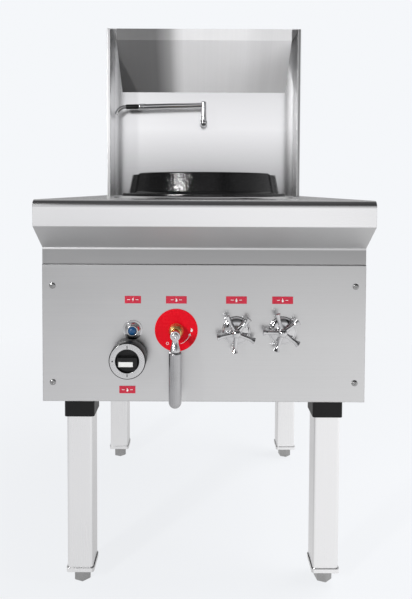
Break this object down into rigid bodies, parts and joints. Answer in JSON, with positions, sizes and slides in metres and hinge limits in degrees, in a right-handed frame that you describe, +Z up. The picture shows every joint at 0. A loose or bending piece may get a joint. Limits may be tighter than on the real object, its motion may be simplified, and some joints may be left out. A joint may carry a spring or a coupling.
{
  "type": "wok burner",
  "caption": "Free-standing stainless gas wok range on legs, with a cast wok ring over a jet burner, control panel with lever, knob and taps, splash back with flue hood and swing faucet.",
  "frame": {"origin": "centre of the footprint box on the floor", "axes": "+Z up, the cook stands on the -Y side, +X to the cook's right"},
  "size_m": [0.7, 0.96, 1.415],
  "materials": {
    "stainless": "brushed stainless sheet",
    "black_paint": "satin black enamel",
    "cast_iron": "black cast iron, fine grain",
    "dark_steel": "heat-darkened mild steel",
    "firebrick": "rough refractory brick",
    "brass": "machined brass",
    "copper": "bare copper tube",
    "ceramic": "glazed white ceramic",
    "red_plate": "gloss red enamel",
    "chrome": "polished chrome plate",
    "bare_steel": "turned bare steel",
    "zinc": "galvanised pipe and die-cast zinc",
    "black_plastic": "matte black phenolic",
    "blue_plastic": "gloss blue plastic"
  },
  "bodies": {
    "range": {"deck": "stainless", "side_panel_left": "stainless", "side_panel_right": "stainless", "rear_panel": "stainless", "control_panel": "stainless", "panel_screws": "chrome", "label_plates": "red_plate", "base_frame": "black_paint", "leg_front_left": "stainless", "leg_front_right": "stainless", "leg_rear_left": "stainless", "leg_rear_right": "stainless", "splash_back": "stainless", "splash_wing_left": "stainless", "splash_wing_right": "stainless", "flue_hood": "stainless", "flue_duct": "stainless", "flue_box": "dark_steel", "well_rim": "stainless", "burner_chamber": "dark_steel", "firebrick_lining": "firebrick", "jet_burner": "cast_iron", "burner_jets": "brass", "burner_cradle": "dark_steel", "pilot_burner": "brass", "pilot_tube": "copper", "thermocouple": "copper", "spark_electrode": "ceramic", "gas_pipe": "dark_steel", "burner_supply_pipe": "dark_steel", "main_valve_body": "brass", "main_valve_bonnet": "brass", "dial_plate": "red_plate", "pilot_valve_body": "zinc", "igniter_body": "chrome", "water_pipe": "zinc", "tank_tap_valve": "brass", "faucet_tap_valve": "brass", "tap_escutcheons": "chrome", "water_tank": "stainless", "tank_feed_pipe": "zinc", "faucet_riser_pipe": "zinc", "faucet_elbow": "chrome"},
    "foot_front_left": {"foot_front_left": "bare_steel"},
    "foot_front_right": {"foot_front_right": "bare_steel"},
    "foot_rear_left": {"foot_rear_left": "bare_steel"},
    "foot_rear_right": {"foot_rear_right": "bare_steel"},
    "wok_ring": {"wok_ring": "cast_iron"},
    "lever": {"lever_spindle": "brass", "lever_arm": "bare_steel", "lever_grip": "bare_steel", "lever_bolt": "bare_steel"},
    "pilot_spindle": {"pilot_spindle": "bare_steel"},
    "pilot_knob": {"pilot_knob": "black_plastic", "pilot_knob_ring": "bare_steel"},
    "igniter_button": {"igniter_button": "blue_plastic"},
    "tank_tap": {"tank_tap_handle": "chrome"},
    "faucet_tap": {"faucet_tap_handle": "chrome"},
    "swing_arm": {"faucet_arm": "chrome", "arm_grip": "black_plastic"}
  },
  "joints": [
    {"name": "lever_turn", "type": "hinge", "parent": "range", "child": "lever", "pos_m": [-0.06, -0.46, 0.577], "axis": [0, -1, 0], "range_deg": [0, 90]},
    {"name": "pilot_push", "type": "slide", "parent": "range", "child": "pilot_spindle", "axis": [0, 1, 0], "range_m": [0, 0.006], "stiffness_N_per_m": 900},
    {"name": "pilot_turn", "type": "hinge", "parent": "pilot_spindle", "child": "pilot_knob", "pos_m": [-0.161, -0.44, 0.521], "axis": [0, -1, 0], "range_deg": [0, 180]},
    {"name": "igniter_press", "type": "slide", "parent": "range", "child": "igniter_button", "axis": [0, 1, 0], "range_m": [0, 0.005], "stiffness_N_per_m": 900},
    {"name": "tank_tap_turn", "type": "hinge", "parent": "range", "child": "tank_tap", "pos_m": [0.07, -0.432, 0.577], "axis": [0, -1, 0], "range_deg": [0, 180]},
    {"name": "faucet_tap_turn", "type": "hinge", "parent": "range", "child": "faucet_tap", "pos_m": [0.17, -0.432, 0.577], "axis": [0, -1, 0], "range_deg": [0, 180]},
    {"name": "faucet_swing", "type": "hinge", "parent": "range", "child": "swing_arm", "pos_m": [0, 0.3485, 1.15], "axis": [0, 0, 1], "range_deg": [0, 180]},
    {"name": "ring_lift", "type": "slide", "parent": "range", "child": "wok_ring", "axis": [0, 0, 1], "range_m": [0, 0.15]},
    {"name": "foot_front_left_adjust", "type": "slide", "parent": "range", "child": "foot_front_left", "axis": [0, 0, -1], "range_m": [0, 0.02]},
    {"name": "foot_front_right_adjust", "type": "slide", "parent": "range", "child": "foot_front_right", "axis": [0, 0, -1], "range_m": [0, 0.02]},
    {"name": "foot_rear_left_adjust", "type": "slide", "parent": "range", "child": "foot_rear_left", "axis": [0, 0, -1], "range_m": [0, 0.02]},
    {"name": "foot_rear_right_adjust", "type": "slide", "parent": "range", "child": "foot_rear_right", "axis": [0, 0, -1], "range_m": [0, 0.02]}
  ]
}
